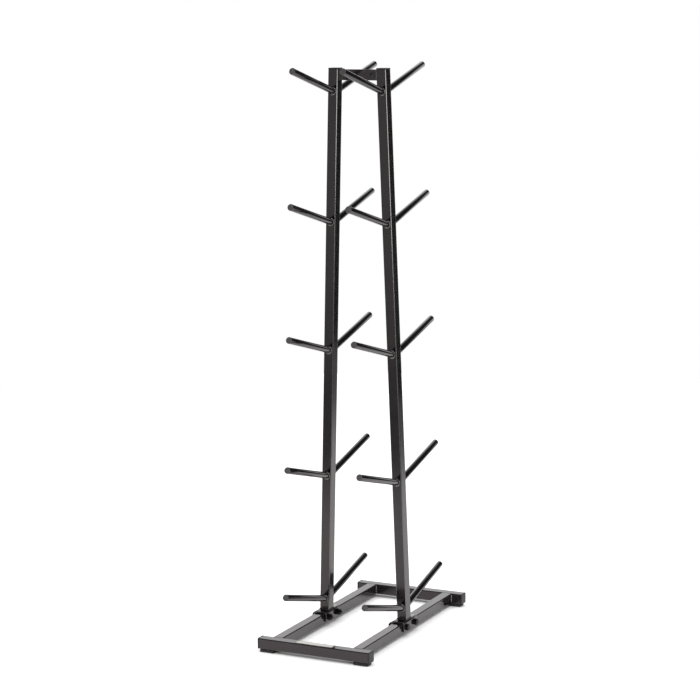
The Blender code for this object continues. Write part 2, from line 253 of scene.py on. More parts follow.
def mathOf(operation, first, second):
    return joined("Math", {0: first, 1: second}, operation=operation)[0]


def times(first, second):
    return mathOf("MULTIPLY", first, second)


def vectorOf(operation, first, second=None):
    return joined("VectorMath", {0: first, 1: second}, operation=operation)


def partsOf(vector):
    return joined("SeparateXYZ", {0: vector})


def blendColours(factor, first, second):
    return joined("Mix", {0: factor, 6: first, 7: second}, data_type="RGBA")[2]


def blendNumbers(factor, first, second):
    return joined("Mix", {0: factor, 2: first, 3: second}, data_type="FLOAT")[0]


def bumpFrom(height, distance, before, strength):
    values = {"Height": height, "Strength": strength, "Distance": distance, "Normal": before}
    return joined("Bump", values)[0]


def bumpLayer(place, look, name, detail, before=None):
    # a noise pattern's bump, over the layer before it
    pattern = noiseAt(place, look[name + "PerMetre"], detail)
    return bumpFrom(pattern, look[name + "Depth"], before, look.get(name + "Strength", 1.0))


def roughFrom(place, look, detail):
    # uneven roughness between the look's two limits
    pattern = noiseAt(place, look["roughPerMetre"], detail)
    return spread(pattern, *look.get("roughEdge", noiseReach), *look["roughness"])


def patchedColour(patches, look):
    # the second colour covers the first in patches, by the look's share
    cover = spread(patches, *look["patchEdge"], 0, look.get("patchCover", 1))
    return blendColours(cover, look["colour"], look["patchColour"])


def setSurface(shader, colour, rough, normal, **others):
    setSockets(shader, {"Base Color": colour, "Roughness": rough, "Normal": normal, **others})


coatLook = {
    "colour": (0.0055, 0.0052, 0.0055),
    "patchColour": (0.0095, 0.0090, 0.0093),
    "patchesPerMetre": 14,
    "patchEdge": (0.35, 0.7),
    "dustColour": (0.10, 0.095, 0.09),
    "specksPerMetre": 330,
    "speckEdge": (0.76, 0.80),
    "speckCover": 0.55,
    "speckRough": 0.5,
    "roughness": (0.12, 0.19),
    "roughPerMetre": 55,
    "roughEdge": (0.3, 0.72),
    "ior": 1.50,
    "specular": 0.5,
    "tint": (1.0, 0.79, 0.84),
    "clearWeight": 0.60,
    "clearRoughness": 0.08,
    "peelPerMetre": 640,
    "peelDepth": 0.000012,
    "wavePerMetre": 17,
    "waveDepth": 0.00014,
    "edgeNormal": (0.985, 0.93),
    "edgeGloss": 0.5,
    "edgeIor": 1.8,
    "edgeTint": (1.0, 0.97, 0.91),
}

pegGloss = {
    "roughness": (0.10, 0.16),
    "clearWeight": 0.72,
    "clearRoughness": 0.05,
}

weldWaves = {
    "wavePerMetre": 330,
    "waveDepth": 0.0005,
}

scuffLook = {
    "perMetre": 90,
    "stretch": (9, 0.35, 9),
    "upperEdge": (0.55, 0.95),
    "lineEdge": (0.55, 0.75),
    "rough": 0.07,
    "cover": 0.35,
    "colour": (0.03, 0.029, 0.028),
}


def makeCoat(name, look, scuffs=None):
    # Gloss black powder coat: faint clouds of tone, orange peel, the long waves of rolled
    # tube under it and a few pale specks of dust. The pegs have fine scuffs from the balls,
    # and the other pieces glossier edges.
    material, shader, place = newMaterial(name)
    colour = patchedColour(noiseAt(place, look["patchesPerMetre"], 4), look)
    specks = noiseAt(place, look["specksPerMetre"], 1)
    specks = spread(specks, *look["speckEdge"], 0, look["speckCover"])
    colour = blendColours(specks, colour, look["dustColour"])
    rough = roughFrom(place, look, 3)
    rough = mathOf("ADD", rough, times(specks, look["speckRough"]))
    setSockets(shader, {
        "IOR": look["ior"],
        "Specular Tint": look["tint"],
        "Coat Weight": look["clearWeight"],
        "Coat Roughness": look["clearRoughness"],
        "Coat IOR": look["ior"],
    })
    normal = addNode(place.id_data, "NewGeometry").outputs["Normal"]
    if scuffs:
        # scuffs lie along the peg, and only on its upper side
        upper = spread(partsOf(normal)["Z"], *scuffs["upperEdge"])
        lines = noiseAt(place, scuffs["perMetre"], 3, scuffs["stretch"])
        scuff = times(upper, spread(lines, *scuffs["lineEdge"]))
        rough = mathOf("ADD", rough, times(scuff, scuffs["rough"]))
        cover = times(scuff, scuffs["cover"])
        colour = blendColours(cover, colour, scuffs["colour"])
    else:
        # glossier and creamier on rounded edges, where the normal lies along none of the axes
        parts = partsOf(vectorOf("ABSOLUTE", normal)[0])
        largest = mathOf("MAXIMUM", mathOf("MAXIMUM", parts["X"], parts["Y"]), parts["Z"])
        edge = spread(largest, *look["edgeNormal"])
        gloss = times(edge, look["edgeGloss"])
        setSockets(shader, {
            "Specular IOR Level": mathOf("ADD", gloss, look["specular"]),
            "IOR": spread(edge, 0, 1, look["ior"], look["edgeIor"]),
            "Specular Tint": blendColours(edge, look["tint"], look["edgeTint"]),
        })
    waves = bumpLayer(place, look, "wave", 1)
    peel = bumpLayer(place, look, "peel", 2, waves)
    setSurface(shader, colour, rough, peel, **{"Coat Normal": peel})
    return material, "black_powder_coat"


plasticLook = {
    "colour": (0.016, 0.0145, 0.014),
    "patchColour": (0.030, 0.027, 0.026),
    "flowPerMetre": 60,
    "flowStretch": (1, 1, 0.35),
    "patchEdge": (0.3, 0.75),
    "flowDepth": 0.0002,
    "flowStrength": 0.6,
    "roughness": (0.36, 0.52),
    "roughPerMetre": 240,
    "ior": 1.50,
    "grainPerMetre": 1500,
    "grainDepth": 0.00004,
}

plugShade = {
    "colour": (0.095, 0.087, 0.087),
    "patchColour": (0.120, 0.110, 0.109),
}


def makePlastic(name, look):
    # Moulded satin plastic: fine even grain, and slow bands where the melt flowed
    material, shader, place = newMaterial(name)
    flow = noiseAt(place, look["flowPerMetre"], 3, look["flowStretch"])
    colour = patchedColour(flow, look)
    rough = roughFrom(place, look, 2)
    slow = bumpFrom(flow, look["flowDepth"], None, look["flowStrength"])
    grain = bumpLayer(place, look, "grain", 1, slow)
    setSurface(shader, colour, rough, grain, IOR=look["ior"])
    return material, "black_plastic"


rubberLook = {
    "colour": (0.018, 0.0165, 0.016),
    # the colour of the lower part, a painted reflection of the white floor
    "floorReflectionColour": (0.075, 0.070, 0.066),
    "patchesPerMetre": 170,
    "floorReflectionHeight": 0.007,
    "floorReflectionEdge": (-0.002, 0.001),
    "floorReflectionCover": (0.7, 0.05),
    "roughness": (0.62, 0.82),
    "grainPerMetre": 1100,
    "grainDepth": 0.00006,
}


def makeRubber(name, look):
    # Matt rubber, painted lighter in patches towards the floor: a painted reflection of the white floor
    material, shader, place = newMaterial(name)
    patches = noiseAt(place, look["patchesPerMetre"], 4)
    reach = times(patches, look["floorReflectionHeight"])
    # a painted reflection of the white floor, in patches up to a few millimetres above the sole
    paintedReflection = spread(mathOf("SUBTRACT", partsOf(place)["Z"], reach), *look["floorReflectionEdge"], *look["floorReflectionCover"])
    colour = blendColours(paintedReflection, look["colour"], look["floorReflectionColour"])
    rough = spread(patches, *noiseReach, *look["roughness"])
    setSurface(shader, colour, rough, bumpLayer(place, look, "grain", 2))
    return material, "foot_rubber"


steelLook = {
    "colour": (0.020, 0.019, 0.019),
    "patchColour": (0.060, 0.047, 0.038),
    "patchesPerMetre": 230,
    "patchEdge": (0.52, 0.78),
    "patchCover": 0.8,
    "roughness": (0.28, 0.46),
    "roughPerMetre": 500,
    "metallic": 0.85,
    "markPerMetre": 2600,
    "markDepth": 0.00002,
}

screwShade = {
    "colour": (0.085, 0.080, 0.080),
    "patchColour": (0.120, 0.105, 0.095),
    "roughness": (0.34, 0.50),
}


def makeSteel(name, look):
    # Black oxide on steel: brownish where it is thin, with fine turning marks
    material, shader, place = newMaterial(name)
    colour = patchedColour(noiseAt(place, look["patchesPerMetre"], 4), look)
    rough = roughFrom(place, look, 3)
    marks = bumpLayer(place, look, "mark", 2)
    setSurface(shader, colour, rough, marks, Metallic=look["metallic"])
    return material, "blackened_steel"


filmLook = {
    "colour": (0.80, 0.78, 0.74),
    "patchColour": (0.68, 0.65, 0.60),
    "patchesPerMetre": 38,
    "patchEdge": (0.4, 0.75),
    "patchCover": 0.8,
    "roughness": (0.30, 0.48),
    "roughPerMetre": 150,
    "wrinklePerMetre": 70,
    "wrinkleDepth": 0.0003,
    "wrinkleStrength": 0.7,
    "fibrePerMetre": 1800,
    "fibreDepth": 0.00004,
    "fibreStrength": 0.5,
}


def makeFilm(name, look):
    # Off-white label film: faint yellowing in patches and shallow wrinkles
    material, shader, place = newMaterial(name)
    colour = patchedColour(noiseAt(place, look["patchesPerMetre"], 4), look)
    rough = roughFrom(place, look, 2)
    wrinkles = bumpLayer(place, look, "wrinkle", 2)
    setSurface(shader, colour, rough, bumpLayer(place, look, "fibre", 2, wrinkles))
    return material, "label_film"


coat = makeCoat("black_powder_coat", coatLook)
weldCoat = makeCoat("weld_powder_coat", {**coatLook, **weldWaves})
pegCoat = makeCoat("peg_powder_coat", {**coatLook, **pegGloss}, scuffLook)
plastic = makePlastic("black_plastic", plasticLook)
plugPlastic = makePlastic("plug_plastic", {**plasticLook, **plugShade})
rubber = makeRubber("foot_rubber", rubberLook)
steel = makeSteel("blackened_steel", steelLook)
screwSteel = makeSteel("screw_steel", {**steelLook, **screwShade})
film = makeFilm("label_film", filmLook)
print("materials made")


# Square tube: crossbars, rails and uprights

tube = {
    "size": float(np.ptp(nodeBox("left_rail"), axis=0)[0]),
    "wall": 0.002,
    "corner": 0.003,
    "lip": 0.0003,
}


def squareTube(axis, start, end):
    # A rounded square carried from start to end, its outer ends eased, and back inside as the bore.
    # The sections stay square to the axis, also where the tube leans.
    start, end = np.array(start, float), np.array(end, float)
    inset = tube["lip"] * (end - start) / np.linalg.norm(end - start)
    inwards = (0, tube["lip"], tube["wall"])
    full, eased, bore = (squareOutline(tube["size"], tube["corner"], each) for each in inwards)
    rings = [laid(eased, axis, start), laid(full, axis, start + inset)]
    rings += [laid(full, axis, end - inset), laid(eased, axis, end)]
    rings += [laid(bore, axis, end), laid(bore, axis, start)]
    return ringMesh(rings, joined=True)


def tubeEnds(node, axis):
    # the middles of a node's two ends
    low, high = nodeBox(node)
    start, end = (low + high) / 2, (low + high) / 2
    start[axis], end[axis] = low[axis], high[axis]
    return start, end


for endName in endSigns:
    crossbar = f"{endName}_crossbar"
    addPiece(crossbar + "_tube", squareTube(0, *tubeEnds(crossbar, 0)), coat, crossbar)

saddle = {
    "wall": 0.005,
    "bend": 0.0015,
    "edge": 0.0007,
    "lead": 0.0008,
    "footEase": 0.4,
    "boltSpacing": 0.062,
    "boltDrop": 0.012,
    "hole": 0.0055,
}

railTop = nodeBox("left_rail")[1][2]
railX = {side: sum(nodeBox(f"{side}_rail"))[0] / 2 for side in sideSigns}
boltZ = railTop - saddle["boltDrop"]
boltPlaces = {
    (side, end): np.array([railX[side], endSigns[end] * saddle["boltSpacing"] / 2, boltZ])
    for side in sideSigns for end in endSigns
}


def boltDrilled(mesh, node, side):
    # both holes for the side's saddle bolts
    return drilled(mesh, node, [boltPlaces[side, end] for end in endSigns], 0, saddle["hole"])


for side in sideSigns:
    rail = f"{side}_rail"
    mesh = boltDrilled(squareTube(1, *tubeEnds(rail, 1)), rail, side)
    addPiece(rail + "_tube", mesh, coat, rail)


def uprightEnds(side):
    # The tube leans inwards, so its foot touches the box's outer side and its head the inner one
    low, high = nodeBox(f"{side}_upright")
    half = tube["size"] / 2
    headX, footX = sorted([low[0] + half, high[0] - half], key=abs)
    return np.array([footX, 0, low[2]]), np.array([headX, 0, high[2]])


uprights = {side: uprightEnds(side) for side in sideSigns}


def leanOf(side):
    # how far the upright comes in for each metre that it rises
    foot, head = uprights[side]
    return (foot[0] - head[0]) / (head[2] - foot[2])


for side in sideSigns:
    addPiece(f"{side}_upright_tube", squareTube(2, *uprights[side]), coat, f"{side}_upright")
print("square tube made")


# Saddles, bent from plate over the rails

def saddleRings(side):
    # The middle line of the plate runs up one leg, round a bend, across, round the other bend
    # and down. Its two skins lie half the wall to each side, closer near the plate's ends.
    low, high = nodeBox(f"{side}_saddle")
    edge, lead, half = saddle["edge"], saddle["lead"], saddle["wall"] / 2
    legX = (high[0] - low[0]) / 2 - half
    bend = saddle["bend"] + half
    crown = high[2] - half
    turn = np.linspace(0, np.pi / 2, 9)
    facing = np.stack([np.cos(turn), np.sin(turn)], -1)
    leg = [[legX, low[2] + edge], [legX, crown - bend - lead]]
    corner = [legX - bend, crown - bend] + bend * facing
    right = np.concatenate([leg, corner, [[legX - bend - lead, crown]]])
    facing = np.concatenate([[[1, 0], [1, 0]], facing, [[0, 1]]])
    line = np.concatenate([right, (right * [-1, 1])[::-1]])
    facing = np.concatenate([facing, (facing * [-1, 1])[::-1]])
    # the plate's ends are eased: at each ring the skins draw in, and the legs' feet rise
    rings = []
    for draw, y in zip(*easedSides(low[1], high[1], edge)):
        outer = line + facing * (half - draw)
        inner = line - facing * (half - draw)
        drop = np.array([edge * saddle["footEase"], draw - edge])
        outerFoot, innerFoot = outer[:1] + drop * [-1, 1], inner[:1] + drop
        feet = [outerFoot, outer, outerFoot * [-1, 1], innerFoot * [-1, 1], inner[::-1], innerFoot]
        rings.append(np.insert(np.concatenate(feet), 1, y, axis=1) + [railX[side], 0, 0])
    return rings


for side in sideSigns:
    node = f"{side}_saddle"
    addPiece(node + "_plate", boltDrilled(ringMesh(saddleRings(side)), node, side), coat, node)
print("saddles made")


# Plastic caps in the tube ends, and the foot pads

cap = {
    "head": tube["size"] + 0.0008,
    "thickness": 0.004,
    "corner": 0.0034,
    "edge": 0.0011,
    "crown": 0.0004,
    "faceShares": (0.92, 0.75, 0.5, 0.25),
    "plug": tube["size"] - 2 * tube["wall"] - 0.0008,
    "plugCorner": 0.001,
    "plugDepth": 0.014,
    "plugTaper": 0.97,
    "taperLength": 0.001,
}


def capRings(axis, seat, outward, lean=0.0):
    # From the plug's inner end out to the head, whose edge is rounded and whose face swells
    # a little: the rings there shrink while they rise by one less the square of their size.
    head, edge, depth = cap["head"], cap["edge"], cap["plugDepth"]
    plug = squareOutline(cap["plug"], cap["plugCorner"])
    full = squareOutline(head, cap["corner"])
    direction = np.zeros(3)
    direction[axis] = outward
    shift = [lean * depth, 0, 0]
    rings = [laid(plug * cap["plugTaper"], axis, seat - direction * depth + shift)]
    rings += [laid(plug, axis, seat - direction * (depth - cap["taperLength"]) + shift)]
    rings += [laid(plug, axis, seat), laid(full, axis, seat)]
    flat = cap["thickness"] - cap["crown"] - edge
    for back, ease in zip(*easedEdge(5)):
        outline = squareOutline(head, cap["corner"], edge * back)
        rings.append(laid(outline, axis, seat + direction * (flat + edge * ease)))
    face = rings[-1] - (seat + direction * (flat + edge))
    for share in cap["faceShares"]:
        rise = flat + edge + cap["crown"] * (1 - share * share)
        rings.append(face * share + seat + direction * rise)
    return rings


for end in endSigns:
    for side, sign in sideSigns.items():
        node = f"{end}_{side}_end_cap"
        seat = tubeEnds(f"{end}_crossbar", 0)[sign > 0] + [sign * seatGap, 0, 0]
        addPiece(node + "_moulding", ringMesh(capRings(0, seat, sign)), plastic, node)

for side in sideSigns:
    seat = uprights[side][1] + [0, 0, seatGap]
    mesh = ringMesh(capRings(2, seat, 1, leanOf(side)))
    addPiece(f"{side}_upright_cap_moulding", mesh, plastic, f"{side}_upright_cap")

footPad = {
    "corner": 0.004,
    "sole": 0.0016,
    "brim": 0.0006,
    "groove": 0.0006,
    "grooveWidth": 0.0012,
    "grooveAt": 0.62,
    "grooveFloor": 0.4,
}


def footRings(node):
    # upwards from the sole: a rounded lower edge, a groove round the side, and a small upper edge
    low, high = nodeBox(node)
    back, ease = easedEdge(5)
    middle, floor = low[2] + (high - low)[2] * footPad["grooveAt"], footPad["grooveFloor"]
    sole, brim, groove = footPad["sole"], footPad["brim"], footPad["groove"]
    half = footPad["grooveWidth"] / 2
    drawn = np.concatenate([sole * (1 - ease), [0, groove, groove, 0], brim * (1 - ease)[::-1]])
    heights = np.concatenate([
        low[2] + sole * back,
        middle + half * np.array([-1, -floor, floor, 1]),
        high[2] - brim * back[::-1],
    ])
    return stackedRings(low, high, 2, footPad["corner"], drawn, heights)


for end in endSigns:
    for side in sideSigns:
        node = f"{end}_{side}_foot"
        addPiece(node + "_pad", ringMesh(footRings(node)), rubber, node)
print("caps and feet made")


# Pegs: round tube cut to lie on the upright, an end plug, and a hand-laid weld

peg = {
    "radius": 0.010,
    "wall": 0.0015,
    "length": 0.262,
    "tilt": math.radians(15),
    "levels": 5,
    "onFace": 0.0001,
    "rootBand": 0.02,
    "lip": 0.0005,
    "around": 64,
    "plugFace": 0.0014,
    "plugRadius": 0.0096,
    "plugEdge": 0.0006,
    "plugShank": 0.0083,
    "plugDepth": 0.009,
    "plugTaper": 0.94,
    "taperLength": 0.001,
    "plugSeat": 0.0001,
    "dome": 0.00025,
    "domeRoom": 0.0003,
    "domeShares": (0.9, 0.7, 0.45, 0.2),
}

pegWeld = {
    "thin": 0.0015,
    "thick": 0.0031,
    "offset": 0.0004,
    "ripples": 34,
    "rippleDepth": 0.09,
    "wander": (0.04, 0.10),
    "points": 272,
}


def pegFrame(side, end, level):
    # the root's middle on the upright's face, the peg's direction, and its upper side
    node = f"{side}_{end}_peg_{level}"
    points = np.array([v.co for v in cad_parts[node].data.vertices])
    sign = endSigns[end]
    rootY = sign * np.min(sign * points[:, 1])
    onFace = points[np.abs(points[:, 1] - rootY) < peg["onFace"]]
    root = (onFace.min(0) + onFace.max(0)) / 2
    cosine, sine = math.cos(peg["tilt"]), math.sin(peg["tilt"])
    return node, root, np.array([0, sign * cosine, sine]), np.array([0, -sign * sine, cosine])


def pegSpokes(upper):
    # the unit circle's points, and the same circle stood square to the peg's middle line
    unit = circleAround(peg["around"])[1]
    return unit, unit[:, :1] * np.array([1.0, 0, 0]) + unit[:, 1:] * upper


def pegRings(root, forward, upper):
    # Each ring is a circle about the peg's middle line. At the root a point slides along the
    # line by its height times the tangent of the tilt, so that it lands on the upright's face.
    unit, spokes = pegSpokes(upper)
    rootSlide = unit[:, 1] * math.tan(peg["tilt"])
    outer, inner, lip = peg["radius"], peg["radius"] - peg["wall"], peg["lip"]
    tip = peg["length"] - peg["plugFace"]
    back, ease = easedEdge(3)
    radii = np.concatenate([[outer, outer], outer - lip * back, [inner, inner]])
    along = np.concatenate([[0, peg["rootBand"]], tip - lip * (1 - ease), [tip, 0]])
    atRoot = np.zeros(len(radii))
    atRoot[[0, -1]] = 1
    slide = along[:, None] + atRoot[:, None] * radii[:, None] * rootSlide
    return root + spokes * radii[:, None, None] + slide[:, :, None] * forward


def plugRings(root, forward, upper):
    # a shank in the tube's bore, and a thin domed face with a rounded rim over the tube's end
    edge, rim, shank = peg["plugEdge"], peg["plugRadius"], peg["plugShank"]
    back, ease = easedEdge(4)
    shares = np.array(peg["domeShares"])
    shanks = [shank * peg["plugTaper"], shank, shank, rim]
    radii = np.concatenate([shanks, rim - edge * back, (rim - edge) * shares])
    inner, seat = -peg["plugDepth"], peg["plugSeat"]
    top = peg["plugFace"] - peg["domeRoom"]
    along = np.concatenate([
        [inner, inner + peg["taperLength"], seat, seat],
        top - edge * (1 - ease),
        top + peg["dome"] * (1 - shares ** 2),
    ])
    middle = root + forward * (peg["length"] - peg["plugFace"])
    return middle + pegSpokes(upper)[1] * radii[:, None, None] + along[:, None, None] * forward


def pegWeldRings(root, forward, seed):
    # The bead follows the ellipse where the peg meets the face. It is thick above and below the
    # peg and thin at its sides, and its radius ripples as the welder moved on.
    turn, unit = circleAround(pegWeld["points"])
    outline = unit * [1, 1 / math.cos(peg["tilt"])]
    outward = laid(unit, 1, (0, 0, 0))
    path = root + laid(outline * (peg["radius"] + pegWeld["offset"]), 1, (0, 0, 0))
    thick = pegWeld["thin"] + (pegWeld["thick"] - pegWeld["thin"]) * np.abs(unit[:, 1]) ** 3
    draw = np.random.default_rng(seed)
    phase, wander = draw.uniform(0, 2 * np.pi, 3), draw.uniform(*pegWeld["wander"], 3)
    uneven = sum(wander[k] * np.sin((k + 2) * turn + phase[k]) for k in range(3))
    ripple = pegWeld["rippleDepth"] * np.abs(np.sin(pegWeld["ripples"] / 2 * turn + phase[0]))
    away = np.zeros((len(turn), 3))
    away[:, 1] = np.sign(forward[1])
    return beadRings(path, outward, away, thick * (1 + uneven - ripple))


seed = 11  # of the first weld's ripples, and one more for each weld after it
for side in sideSigns:
    for end in endSigns:
        for level in range(1, peg["levels"] + 1):
            node, root, forward, upper = pegFrame(side, end, level)
            rings = pegRings(root, forward, upper)
            addPiece(node + "_tube", ringMesh(rings, joined=True), pegCoat, node)
            addPiece(node + "_plug", ringMesh(plugRings(root, forward, upper)), plugPlastic)
            rings = pegWeldRings(root, forward, seed)
            addPiece(node + "_weld", ringMesh(rings, joined=True), weldCoat)
            seed += 1
print("pegs made")


# Welds of the frame: round each upright's foot, and down both sides of each rail's end

frameWeld = {
    "footRadius": 0.0019,
    "footStandoff": 0.3,
    "footPoints": 360,
    "seamRadius": 0.0022,
    "seamMargin": 0.0015,
    "seamPoints": 90,
    "seamTaper": 0.97,
    "ripplePitch": 0.0016,
    "rippleDepth": 0.10,
    "slowWaves": ((0.08, 0.011), (0.05, 0.0047)),
}


def rippled(distance, radius, seed):
    # the radius along a bead: short scallops at the ripple pitch, and slow waves
    draw = np.random.default_rng(seed)
    phase = draw.uniform(0, 2 * np.pi, 3)
    scallop = np.abs(np.sin(np.pi * distance / frameWeld["ripplePitch"] + phase[0]))
    waves = zip(frameWeld["slowWaves"], phase[1:])
    slow = sum(height * np.sin(distance / length + start) for (height, length), start in waves)
    return radius * (1 + slow - frameWeld["rippleDepth"] * scallop)


def footWeldRings(side, seed):
    # evenly spaced points on the rounded square where the upright stands on its saddle
    foot = uprights[side][0]
    radius = frameWeld["footRadius"]
    outline = squareOutline(tube["size"], tube["corner"], -radius * frameWeld["footStandoff"])
    closed = np.concatenate([outline, outline[:1]])
    steps = np.linalg.norm(np.diff(closed, axis=0), axis=1)
    reached = np.concatenate([[0], np.cumsum(steps)])
    distance = np.linspace(0, reached[-1], frameWeld["footPoints"], endpoint=False)
    line = np.stack([np.interp(distance, reached, closed[:, k]) for k in (0, 1)], -1)
    tangent = np.roll(line, -1, 0) - np.roll(line, 1, 0)
    tangent /= np.linalg.norm(tangent, axis=1, keepdims=True)
    outward = np.stack([tangent[:, 1], -tangent[:, 0], np.zeros(len(line))], -1)
    upward = np.tile([0.0, 0, 1], (len(line), 1))
    path = np.insert(line, 2, 0.0, axis=1) + foot
    return beadRings(path, outward, upward, rippled(distance, radius, seed))


def seamWeldRings(side, end, facing, seed):
    # an upright bead in the corner between a rail's side and the crossbar, tapered at both ends
    low, high = nodeBox(f"{side}_rail")
    y = high[1] if end == "rear" else low[1]
    x = high[0] if facing > 0 else low[0]
    margin = frameWeld["seamMargin"]
    share = np.linspace(0, 1, frameWeld["seamPoints"])
    height = low[2] + margin + (high[2] - low[2] - 2 * margin) * share
    taper = np.sqrt(1 - np.abs(2 * share - 1) ** 5 * frameWeld["seamTaper"])
    path = np.stack([np.full_like(height, x), np.full_like(height, y), height], -1)
    outward = np.tile([1.0, 0, 0], (len(height), 1))
    across = np.tile([0.0, 1, 0], (len(height), 1))
    return beadRings(path, outward, across, rippled(height, frameWeld["seamRadius"], seed) * taper)


for side in sideSigns:
    foot = ringMesh(footWeldRings(side, seed), joined=True)
    addPiece(f"{side}_upright_foot_weld", foot, weldCoat)
    seed += 1
    for end in endSigns:
        for facing, place in ((-1, "left"), (1, "right")):
            seam = ringMesh(seamWeldRings(side, end, facing, seed))
            addPiece(f"{side}_rail_{end}_{place}_weld", seam, weldCoat)
            seed += 1
print("welds made")


# Bolts, nuts and washers of the saddles

bolt = {
    "radius": 0.005,
    "flats": 0.017,
    "headHeight": 0.0064,
    "nutHeight": 0.0084,
    "endLength": 0.004,
    "pitch": 0.0015,
    "threadDepth": 0.0008,
    "threadLength": 0.0075,
    "threadRings": 44,
    "threadRunOut": 0.0003,
    "tipShare": 0.5,
    "tipDrop": 0.0011,
    "washerFace": 0.0004,
    "washerFaceShare": 0.96,
    "topShare": 0.95,
    "chamferDepth": 0.0014,
    "dish": ((0.0071, 0), (0.0068, 0.0003), (0.003, 0.0004)),
    "boreGap": 0.0003,
    "countersink": 0.0007,
    "around": 96,
}

washer = {
    "radius": 0.010,
    "bore": 0.0053,
    "thickness": 0.002,
    "edge": 0.0004,
    "around": 72,
}

chamferSlope = math.tan(math.radians(60))  # how fast a 30 degree chamfer widens with depth
chamferSteps = bolt["chamferDepth"] * np.linspace(1, 0, 9) ** 1.5  # closer together near the face
washerSeat = tube["size"] / 2 + saddle["wall"] + 2 * seatGap
headSeat = tube["size"] / 2 + saddle["wall"] + washer["thickness"] + 3 * seatGap


def hexWithChamfer(turn, along, top):
    # the hexagon, cut by a cone that starts just inside the flats on the top face
    cone = bolt["flats"] / 2 * bolt["topShare"] + (top - along[:, None]) * chamferSlope
    return np.minimum(hexRadius(turn, bolt["flats"])[None], cone)


def boltRings(centre, outward):
    # From the threaded tip along the shank to the head. The thread's radius falls and rises as a
    # triangle wave of the distance in pitches plus the angle in turns, which winds it as a helix.
    count = bolt["around"]
    turn = circleAround(count)[0]
    length = 2 * headSeat + bolt["nutHeight"] + bolt["endLength"]
    threaded = np.linspace(-length, -length + bolt["threadLength"], bolt["threadRings"])
    wave = np.abs((threaded[:, None] / bolt["pitch"] + turn[None] / (2 * np.pi)) % 1 * 2 - 1)
    shank, face = bolt["radius"], bolt["flats"] / 2 * bolt["washerFaceShare"]
    tipCone = shank - bolt["tipDrop"] + (threaded[:, None] + length)
    threadRadius = np.minimum(shank - bolt["threadDepth"] * wave, tipCone)
    plainAlong = [-length + bolt["threadLength"] + bolt["threadRunOut"], 0, 0, bolt["washerFace"]]
    headAlong = np.concatenate([[bolt["washerFace"]], bolt["headHeight"] - chamferSteps])
    head = hexWithChamfer(turn, headAlong, bolt["headHeight"])
    dish, dishDepths = np.transpose(bolt["dish"])
    dishAlong = bolt["headHeight"] - dishDepths
    tip = threadRadius[0] * bolt["tipShare"]
    radii = [tip, *threadRadius, shank, shank, face, face, *head, *dish]
    along = np.concatenate([threaded[:1], threaded, plainAlong, headAlong, dishAlong])
    return turnedRings(radii, along, 0, centre + [outward * headSeat, 0, 0], outward, count)


def nutRings(centre, outward):
    # chamfered on both faces, with a countersunk bore
    count = bolt["around"]
    turn = circleAround(count)[0]
    height = bolt["nutHeight"]
    along = np.concatenate([chamferSteps[::-1], height - chamferSteps])
    top = hexWithChamfer(turn, along, height)
    bottom = hexWithChamfer(turn, height - along, height)
    bore, sink = bolt["radius"] + bolt["boreGap"], bolt["countersink"]
    radii = [*np.minimum(top, bottom), bore + sink, bore, bore, bore + sink]
    along = np.concatenate([along, [height, height - sink, sink, 0]])
    return turnedRings(radii, along, 0, centre - [outward * headSeat, 0, 0], -outward, count)


def washerRings(centre, direction, distance):
    # a flat ring with eased outer edges
    inset, rise = easedSides(0, washer["thickness"], washer["edge"], 3)
    radii = np.concatenate([washer["radius"] - inset, [washer["bore"]] * 2])
    along = np.concatenate([rise, [washer["thickness"], 0]])
    middle = centre + [direction * distance, 0, 0]
    return turnedRings(radii, along, 0, middle, direction, washer["around"])


for (side, end), centre in boltPlaces.items():
    outward = sideSigns[side]
    base = f"{side}_{end}_saddle_"
    addPiece(base + "bolt_forged", ringMesh(boltRings(centre, outward)), steel, base + "bolt")
    nut = ringMesh(nutRings(centre, outward), joined=True)
    addPiece(base + "nut_forged", nut, steel, base + "nut")
    for place, direction in (("outer", outward), ("inner", -outward)):
        ring = ringMesh(washerRings(centre, direction, washerSeat), joined=True)
        name = f"{base}{place}_washer"
        addPiece(name + "_stamped", ring, steel, name)
print("saddle fasteners made")


# Crosspiece, its tabs and its button screws

crosspiece = {
    "edge": 0.0009,
    "corner": 0.0007,
    "lead": 0.0006,
    "cornerLead": 0.001,
    "hole": 0.0045,
}

button = {
    "headRadius": 0.007,
    "headHeight": 0.0044,
    "underEase": 0.0004,
    "rimRise": 0.0003,
    "shank": 0.004,
    "tipEase": 0.0008,
    "socketFlats": 0.005,
    "socketRim": 0.0009,
    "socketDepth": 0.0024,
    "socketMouth": 1.06,
    "mouthDepth": 0.0002,
    "socketFloor": 0.3,
    "floorDepth": 0.0004,
    "around": 96,
}


def plateRings(low, high, follow):
    # A rounded rectangle in XZ carried through the plate's thickness, with eased edges.
    # follow moves each point sideways for its height, so that an end lies along the upright.
    # A ring just inside each face's border keeps the face flat in the shading.
    edge, border = crosspiece["edge"], [crosspiece["edge"] + crosspiece["lead"]]
    inset, along = easedSides(low[1], high[1], edge)
    drawn = np.concatenate([border, inset, border])
    along = np.concatenate([low[1:2], along, high[1:2]])
    corner, lead = crosspiece["corner"] + edge, crosspiece["cornerLead"]
    rings = stackedRings(low, high, 1, corner, drawn, along, lead=lead)
    return [follow(ring, low, high) for ring in rings]


def drawnIn(ring, share, low):
    # moves each point in by its share of the uprights' lean over its height above the plate's foot
    moved = ring.copy()
    moved[:, 0] -= share * leanOf("right") * (ring[:, 2] - low[2])
    return moved


def followBoth(ring, low, high):
    # the box is as wide as the plate's bottom, so a point draws in with its height above it
    return drawnIn(ring, ring[:, 0] / high[0], low)


def followOne(sign):
    # the same at the outer end alone, fading to nothing at the inner one
    def follow(ring, low, high):
        inner = min(abs(low[0]), abs(high[0]))
        share = np.clip((sign * ring[:, 0] - inner) / (high[0] - low[0]), 0, 1)
        return drawnIn(ring, sign * share, low)
    return follow


